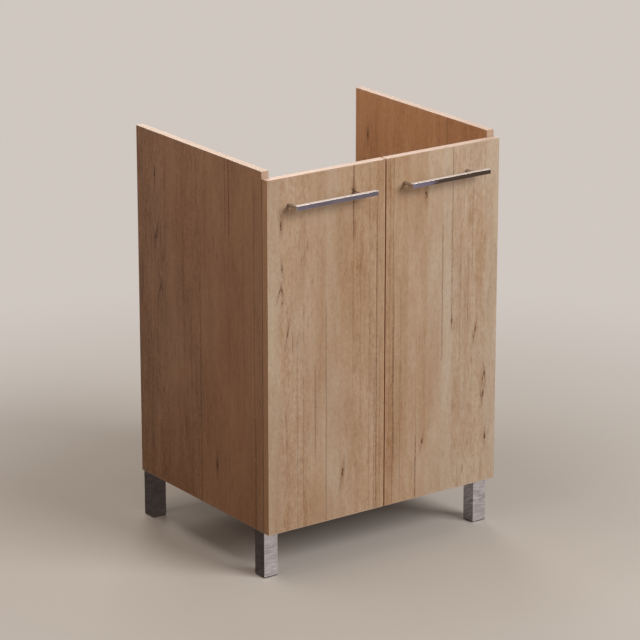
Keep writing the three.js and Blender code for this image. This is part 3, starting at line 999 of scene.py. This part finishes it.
@dataclass
class Door:
    """One slab door with its bumpers, bar handle and handle screws."""

    hand: str
    front_y: float = -228.5
    back_y: float = -210.5
    handle_z: float = 816.5
    bar_length: float = 206.0
    bar_from_middle: float = 44.5
    post_inset: float = 4.5
    post_spacing: float = 165.0
    post_radius: float = 4.0
    standoff: float = 25.0
    thread_radius: float = 2.5
    thread_length: float = 5.0
    screw_seat: float = 2.6
    bumper_from_middle: float = 16.5
    bumper_z: dict[str, float] = field(default_factory=lambda: {"upper": 840.0, "lower": 114.0})
    bumper_radius: float = 5.0
    board_rounding: float = 0.35
    bar_rounding: float = 0.4

    def left_decor(self) -> OakDecor:
        """Lays out the left door's front.

        Returns:
            The door's decor.
        """
        planks = set_of(Plank, (-300, 0.64, 0.25, 0.4), (-268, 0.57, 0.55, 0.95), (-195, 0.57, 0.5, 0.35),
                        (-152, 0.63, 0.4, 0.3), (-118, 0.56, 0.6, 0.4), (-83, 0.52, 0.8, 0.75),
                        (-24, 0.46, 0.95, 0.6))
        seams = set_of(Seam, (-83, 740, 875, 2.6, 0.95), (-83, 400, 740, 2.0, 0.3), (-152, 105, 560, 2.2, 0.55),
                       (-22, 105, 735, 2.4, 0.8), (-27.5, 105, 420, 2.0, 0.6), (-13, 105, 470, 2.0, 0.5),
                       (-180, 278, 430, 2.8, 0.6), (-226, 105, 470, 2.2, 0.4), (-210, 105, 380, 2.2, 0.4),
                       (-41, 105, 875, 2.0, 0.4), (-64, 300, 700, 2.0, 0.3))
        knots = set_of(Knot, (-266, 775, 1.6, 8), (-264, 684, 1.5, 7, 0.1), (-270, 634, 1.0, 8, -0.32),
                       (-264, 636, 1.0, 7, 0.3), (-263, 609, 1.2, 4), (-250, 541, 1.2, 11, -0.2),
                       (-110, 204, 2.4, 10, -0.18), (-83, 819, 3.0, 8))
        patches = set_of(Patch, (-217, 665, 34, 110, 0.75), (-214, 500, 32, 90, 0.6), (-262, 650, 12, 90, 0.5),
                         (-248, 780, 26, 60, 0.45), (-246, 545, 14, 50, 0.5), (-85, 760, 24, 70, 0.4),
                         (-182, 350, 22, 110, 0.4))
        return OakDecor("door_left", Lie.DOOR, 1.7, planks, seams, knots, patches)

    def right_decor(self) -> OakDecor:
        """Lays out the right door's front.

        Returns:
            The door's decor.
        """
        planks = set_of(Plank, (0, 0.42, 0.95, 0.7), (24, 0.5, 0.75, 0.45), (60, 0.58, 0.5, 0.3),
                        (110, 0.7, 0.3, 0.25), (152, 0.8, 0.1, 0.3), (178, 0.68, 0.3, 0.9),
                        (222, 0.68, 0.3, 0.9), (266, 0.78, 0.05, 0.45))
        seams = set_of(Seam, (23, 240, 545, 2.8, 0.85), (21, 105, 875, 2.2, 0.55), (83, 105, 224, 2.8, 0.85),
                       (83, 224, 470, 2.0, 0.3), (152, 433, 690, 2.4, 0.65), (177, 497, 875, 2.4, 0.65),
                       (221, 507, 608, 2.2, 0.6), (41, 105, 560, 2.0, 0.4), (12, 300, 875, 2.0, 0.4),
                       (200, 430, 640, 2.0, 0.4), (232, 600, 760, 2.0, 0.4))
        knots = set_of(Knot, (106, 781, 2.4, 7), (242, 459, 1.3, 8, -0.2), (238, 440, 1.0, 5, 0.1),
                       (270, 354, 1.1, 9, 0.14), (266, 346, 1.0, 7, -0.2), (266, 308, 1.6, 7, -0.15),
                       (262, 300, 1.0, 6, 0.2), (101, 233, 2.0, 6, -0.2), (272, 209, 1.6, 7),
                       (178, 489, 1.4, 5))
        patches = set_of(Patch, (203, 600, 26, 130, 0.5), (232, 440, 34, 110, 0.6), (214, 280, 36, 100, 0.45),
                         (205, 800, 22, 60, 0.35), (266, 325, 14, 90, 0.5))
        return OakDecor("door_right", Lie.DOOR, 6.4, planks, seams, knots, patches)

    def build(self) -> None:
        """Dresses the door and puts its turned pieces on it."""
        hand, body, node = self.hand, f"{self.hand}_door", f"door_{self.hand}"
        decor = self.left_decor() if hand == "left" else self.right_decor()
        finish_node(node, decor.material(*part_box(node)), self.board_rounding)
        finish_node(f"handle_bar_{hand}", BAR_CHROME.material(), self.bar_rounding, 3)
        r, reach, thread = self.post_radius, self.standoff, self.thread_radius
        tip = reach + self.thread_length
        post = turned("handle post", [(0, 0.3), (r - 0.3, 0.3), (r, 0.6), (r, reach - 0.6),
                                      (r - 0.3, reach - 0.3), (thread, reach - 0.3), (thread, tip),
                                      (0, tip)], 40)
        bar_end = self.bar_from_middle if hand == "right" else -self.bar_from_middle - self.bar_length
        left = bar_end + self.post_inset
        for end, x in (("left", left), ("right", left + self.post_spacing)):
            stud = add_piece(f"post_{hand}_{end}", post, body, MIRROR_CHROME,
                             facing(x, self.front_y, self.handle_z, (0, -1, 0)))
            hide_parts(f"handle_post_{hand}_{end}")
            fixing = add_piece(f"bar_screw_{hand}_{end}", HANDLE_SCREW.mesh(), body, STEEL,
                               facing(x, self.back_y - self.screw_seat, self.handle_z, (0, 1, 0), 20))
            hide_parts(f"handle_screw_{hand}_{end}")
        r = self.bumper_radius
        stop = turned("door bumper", [(0, 0.3), (r, 0.3), (r, 0.7), (r * 0.93, 1.15), (r * 0.75, 1.48),
                                      (r * 0.4, 1.66), (0, 1.7)], 40)
        for level, z in self.bumper_z.items():
            bumper = add_piece(f"bumper_{hand}_{level}", stop, body, RUBBER,
                               facing(HANDS[hand] * self.bumper_from_middle, self.back_y, z, (0, 1, 0)))
            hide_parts(f"door_bumper_{hand}_{level}")


# ---------------------------------------------------------------- hinges


@dataclass
class ConcealedHinge:
    """One concealed hinge: plate and arm on the side panel, link, and cup in the door."""

    hand: str
    level: str
    height: dict[str, float] = field(default_factory=lambda: {"upper": 745.0, "lower": 195.0})
    half_width: float = 300.0
    board: float = 18.0
    door_back_y: float = -210.5
    cup_from_edge: float = 22.5
    ear_screw_across: float = 6.5
    ear_thickness: float = 1.5
    ear_screw_up: float = 22.0
    plate_middle: float = 47.0
    plate_thickness: float = 2.3
    plate_screw_up: float = 20.0
    arm_face: float = 35.2
    arm_screws: tuple[tuple[str, float, float], ...] = (("front", 30.0, 10.0), ("back", 56.0, 55.0))
    roundings: tuple[tuple[str, float], ...] = (("plate", 0.4), ("arm", 0.25), ("link", 0.2), ("cup", 0.3))

    def build(self) -> None:
        """Dresses the four CAD pieces and adds the screws."""
        side, z, tag = HANDS[self.hand], self.height[self.level], f"{self.hand}_{self.level}"
        for part, rounding in self.roundings:
            finish_node(f"hinge_{part}_{tag}", NICKEL.material(), rounding)
        x = side * (self.half_width - self.cup_from_edge - self.ear_screw_across)
        for place, up in (("top", self.ear_screw_up), ("bottom", -self.ear_screw_up)):
            add_piece(f"ear_screw_{tag}_{place}", EAR_SCREW.mesh(), f"{self.hand}_door", STEEL,
                      facing(x, self.door_back_y + self.ear_thickness, z + up, (0, 1, 0), 15 * side + up))
        x = side * (self.half_width - self.board - self.plate_thickness)
        for place, up in (("top", self.plate_screw_up), ("bottom", -self.plate_screw_up)):
            add_piece(f"plate_screw_{tag}_{place}", PLATE_SCREW.mesh(), "cabinet", STEEL,
                      facing(x, self.door_back_y + self.plate_middle, z + up, (-side, 0, 0), 30 + up))
        x = side * (self.half_width - self.arm_face)
        for place, back, turn in self.arm_screws:
            add_piece(f"arm_screw_{tag}_{place}", ARM_SCREW.mesh(), "cabinet", STEEL,
                      facing(x, self.door_back_y + back, z, (-side, 0, 0), turn))


# ---------------------------------------------------------------- legs


@dataclass
class MetalLeg:
    """One square tube leg with its plate, the plate's screws and the levelling foot."""

    row: str
    hand: str
    centre_x: float = 279.0
    centre_y: dict[str, float] = field(default_factory=lambda: {"front": -188.5, "back": 244.5})
    plate_underside: float = 102.7
    plate_screws: tuple[tuple[float, float], ...] = ((30, 30), (30, -8), (-8, 30))
    foot_radius: float = 14.0
    foot_height: float = 6.0
    stem_radius: float = 4.0
    stem_top: float = 37.0
    tube_rounding: float = 0.5
    plate_rounding: float = 0.3

    def build(self) -> None:
        """Dresses the tube and the plate, and adds the screws and a turned foot."""
        side, inward, tag = HANDS[self.hand], 1 if self.row == "front" else -1, f"{self.row}_{self.hand}"
        finish_node(f"leg_{tag}", MIRROR_CHROME.material(), self.tube_rounding, 3)
        finish_node(f"leg_plate_{tag}", ZINC.material(), self.plate_rounding)
        x, y = side * self.centre_x, self.centre_y[self.row]
        for number, (across, back) in enumerate(self.plate_screws):
            place = (x - side * across, y + inward * back, self.plate_underside)
            add_piece(f"leg_screw_{tag}_{number + 1}", LEG_SCREW.mesh(), "cabinet", STEEL,
                      facing(*place, (0, 0, -1), 25 * number))
        r, h, stem, top = self.foot_radius, self.foot_height, self.stem_radius, self.stem_top
        foot = turned("levelling foot", [(0, 0), (r - 1.2, 0), (r - 0.3, 0.4), (r, 1.2), (r, 2.6),
                                         (r - 0.6, 3.0), (r - 0.6, 3.4), (r, 3.8), (r, h - 0.8),
                                         (r - 0.8, h), (stem, h), (stem, top - 0.6), (stem - 0.6, top),
                                         (0, top)])
        glide = add_piece(f"glide_{tag}", foot, f"foot_{tag}", NYLON, facing(x, y, 0, (0, 0, 1)))
        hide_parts(f"levelling_foot_{tag}")


# ---------------------------------------------------------------- studio


def aimed(place: Point, aim: Point, axis: str) -> Euler:
    """Turn that points an axis of a thing at one place towards another."""
    return (Vector(aim) - Vector(place)).to_track_quat(axis, "Y").to_euler()


@dataclass(frozen=True)
class Lamp:
    """A soft square lamp: where it hangs and what it points at in metres, its side, watts and tint."""

    name: str
    place: Point
    aim: Point
    size: float
    power: float
    tint: Point

    def hang(self) -> None:
        """Hangs the lamp where the camera doesn't see it."""
        light = bpy.data.lights.new(self.name, "AREA")
        light.size, light.energy, light.color = self.size, self.power, self.tint
        lamp = put(self.name, light)
        lamp.location, lamp.rotation_euler = self.place, aimed(self.place, self.aim, "-Z")
        lamp.visible_camera = False


@dataclass(frozen=True)
class ReflectionCard:
    """A glowing card that only shows as a reflection in the bright metal, a painted reflection, with its sizes
    in metres.

    A fade is a height on its middle line, and the distances from there where it begins and ends.
    """

    name: str
    place: Point
    aim: Point
    size: tuple[float, float]
    colour: Colour
    strength: float = 1.0
    rough: float = 0.12
    fade: Point | None = None

    def material(self) -> bpy.types.Material:
        """Makes the card's glowing mottled paint.

        Returns:
            The material.
        """
        material, bench, shader = new_material(self.name)
        shader.inputs["Base Color"].default_value = (0.0, 0.0, 0.0, 1.0)
        shader.inputs["Emission Strength"].default_value = self.strength
        shader.inputs["Specular IOR Level"].default_value = 0.0
        spot = bench.vector("MULTIPLY", bench.place(), (38.0, 95.0, 1.0)).outputs[0]
        cloud = bench.eased(bench.noise(spot, 5, 0.7, 0.4), 0.3, 0.7, 1.0 - self.rough, 1.0)
        dark = (0.02, 0.015, 0.012, 1.0)
        bench.wire(bench.blend(cloud, dark, self.colour), shader.inputs["Emission Color"])
        if self.fade:
            height, start, end = self.fade
            away = bench.vector("DISTANCE", bench.place(), (0.0, height, 0.0)).outputs["Value"]
            bench.wire(bench.eased(away, start, end, 1.0, 0.0), shader.inputs["Alpha"])
        return material

    def stand(self) -> None:
        """Stands the card where only mirrors see it."""
        work = bmesh.new()
        wide, high = self.size[0] / 2, self.size[1] / 2
        corners = ((-wide, -high, 0), (wide, -high, 0), (wide, high, 0), (-wide, high, 0))
        work.faces.new([work.verts.new(corner) for corner in corners])
        mesh = made_up(work, self.name)
        mesh.materials.append(self.material())
        card = put(self.name, mesh)
        card.location, card.rotation_euler = self.place, aimed(self.place, self.aim, "Z")
        card.visible_camera = card.visible_diffuse = card.visible_shadow = card.visible_transmission = False


LAMPS = (
    Lamp("key", (2.2, -4.9, 3.5), (0.0, 0.0, 0.4), 3.4, 345.0, (1.0, 0.985, 0.96)),
    Lamp("overhead", (-0.5, 0.1, 2.1), (0.1, 0.1, 0.6), 0.9, 12.0, (1.0, 0.92, 0.84)),
    Lamp("left fill", (-3.2, -1.2, 2.6), (0.0, 0.0, 0.8), 1.6, 15.2, (1.0, 0.73, 0.55)),
    Lamp("back fill", (1.7, 3.6, 2.4), (0.0, 0.0, 0.5), 1.8, 62.0, (1.0, 0.94, 0.87)),
)
# Painted reflections: the lying cards paint a floor in shade, a lit floor and a rough floor into the legs, the
# standing ones paint grey, mauve and dark bands into the bars' fronts, and the white one a pale glow from
# behind.
CARDS = (
    ReflectionCard("shade card", (-0.32, 0.05, 0.001), (-0.32, 0.05, 1.0), (2.0, 2.0), paint(86, 75, 70), rough=0.55,
         fade=(0.0, 0.45, 0.95)),
    ReflectionCard("lit floor reflection card", (0.15, -0.03, 0.003), (0.15, -0.03, 1.0), (0.5, 0.5), paint(158, 146, 140), rough=0.75,
         fade=(0.0, 0.06, 0.24)),
    ReflectionCard("rough floor reflection card", (0.0, -0.682, 0.002), (0.0, -0.682, 1.0), (1.9, 0.95), paint(238, 226, 221), rough=0.5,
         fade=(-0.475, 0.5, 0.9)),
    ReflectionCard("grey card", (0.87, -1.7, 0.34), (0.87, 0.0, 0.34), (0.36, 0.66), paint(147, 135, 143)),
    ReflectionCard("mauve card", (1.13, -1.7, 0.34), (1.13, 0.0, 0.34), (0.16, 0.66), paint(163, 150, 166)),
    ReflectionCard("dark card", (1.36, -1.7, 0.34), (1.36, 0.0, 0.34), (0.3, 0.66), paint(106, 87, 71)),
    ReflectionCard("white card", (2.4, 3.0, 2.2), (0.0, -0.2, 0.8), (3.6, 2.4), paint(255, 247, 240), 1.6),
)


@dataclass
class Studio:
    """Pale floor, soft light and the camera."""

    camera_place: Point = (-3.85362, -5.38797, 2.58725)
    camera_pitch: float = 0.310081
    camera_heading: float = 0.620254
    lens: float = 180.593
    floor_radius: float = 40.0
    lit_radius: float = 0.5
    fade_radius: float = 1.9
    floor_colour: Colour = paint(190, 184, 178)
    floor_bounce: Colour = paint(134, 120, 110)
    backdrop: Colour = paint(207, 199, 192)
    air: Colour = (1.0, 0.89, 0.8, 1.0)
    air_strength: float = 0.2

    def place_camera(self) -> None:
        """Puts the camera where the picture was taken from."""
        lens = bpy.data.cameras.new("camera")
        lens.lens, lens.sensor_width, lens.clip_end = self.lens, 36.0, 200.0
        camera = put("camera", lens)
        camera.location = self.camera_place
        camera.rotation_euler = (math.pi / 2 - self.camera_pitch, 0.0, -self.camera_heading)
        bpy.context.scene.camera = camera

    def light(self) -> None:
        """Hangs the lamps and sets the soft light all round."""
        for lamp in LAMPS:
            lamp.hang()
        world = bpy.data.worlds.new("studio air")
        world.use_nodes = True
        bpy.context.scene.world = world
        bench = Bench(world.node_tree)
        ray = bench.add("ShaderNodeLightPath").outputs
        seen = bench.most(ray["Is Camera Ray"], ray["Is Glossy Ray"], ray["Is Transmission Ray"])
        soft = bench.add("ShaderNodeBackground", {"Color": self.air, "Strength": self.air_strength})
        shown = bench.add("ShaderNodeBackground", {"Color": self.backdrop, "Strength": 1.0})
        both = bench.add("ShaderNodeMixShader", {0: seen, 1: soft.outputs[0], 2: shown.outputs[0]})
        bench.add("ShaderNodeOutputWorld", {"Surface": both.outputs[0]})

    def lay_floor(self) -> None:
        """Lays a plain pale floor that ends in the backdrop, and is clear to a camera below it."""
        work = bmesh.new()
        bmesh.ops.create_circle(work, cap_ends=True, segments=96, radius=self.floor_radius)
        mesh = made_up(work, "floor")
        material, bench, shader = new_material("pale_floor")
        mesh.materials.append(material)
        put("floor", mesh)
        place, ray = bench.place(), bench.add("ShaderNodeLightPath").outputs
        worn = {"Place": place, "Scale": 1.5, "Roughness": 0.55, "Smudge": 0.08, "Marks": 0.0}
        spread = bench.use(Effect.HANDLED, worn)
        darker = (*(part * 0.97 for part in self.floor_colour[:3]), 1.0)
        pale = bench.blend(spread["Shade"], darker, self.floor_colour)
        bench.wire(bench.blend(ray["Is Diffuse Ray"], pale, self.floor_bounce), shader.inputs["Base Color"])
        bench.wire(spread["Roughness"], shader.inputs["Roughness"])
        shader.inputs["Specular IOR Level"].default_value = 0.0
        away = bench.add("ShaderNodeVectorMath", {0: place}, operation="LENGTH").outputs["Value"]
        seen = bench.minus(1.0, ray["Is Diffuse Ray"])
        fade = bench.times(bench.eased(away, self.lit_radius, self.fade_radius), seen)
        far = bench.add("ShaderNodeEmission", {"Color": self.backdrop, "Strength": 1.0})
        above = bench.add("ShaderNodeMixShader", {0: fade, 1: shader.outputs[0], 2: far.outputs[0]})
        below = bench.times(bench.add("ShaderNodeNewGeometry").outputs["Backfacing"], ray["Is Camera Ray"])
        clear = bench.add("ShaderNodeBsdfTransparent")
        both = bench.add("ShaderNodeMixShader", {0: below, 1: above.outputs[0], 2: clear.outputs[0]})
        bench.wire(both.outputs[0], bench.tree.nodes["surface"].inputs["Surface"])


# ---------------------------------------------------------------- assembly


def main() -> None:
    """Builds the studio and dresses the cabinet, piece by piece."""
    logging.basicConfig(level=logging.INFO, format="%(name)s: %(message)s")
    bpy.context.scene.view_settings.view_transform = "Standard"
    studio = Studio()
    studio.place_camera()
    studio.light()
    studio.lay_floor()
    # Glowing cards that paint reflections into the bright metal.
    for card in CARDS:
        card.stand()
    carcass = Carcass()
    carcass.dress()
    carcass.build_caps()
    log.info("carcass: boards, cam fittings and caps done")
    for hand in HANDS:
        Door(hand).build()
        for level in LEVELS:
            ConcealedHinge(hand, level).build()
        for row in ROWS:
            MetalLeg(row, hand).build()
        log.info("%s door, hinges and legs done", hand)


if __name__ == "__main__":
    main()
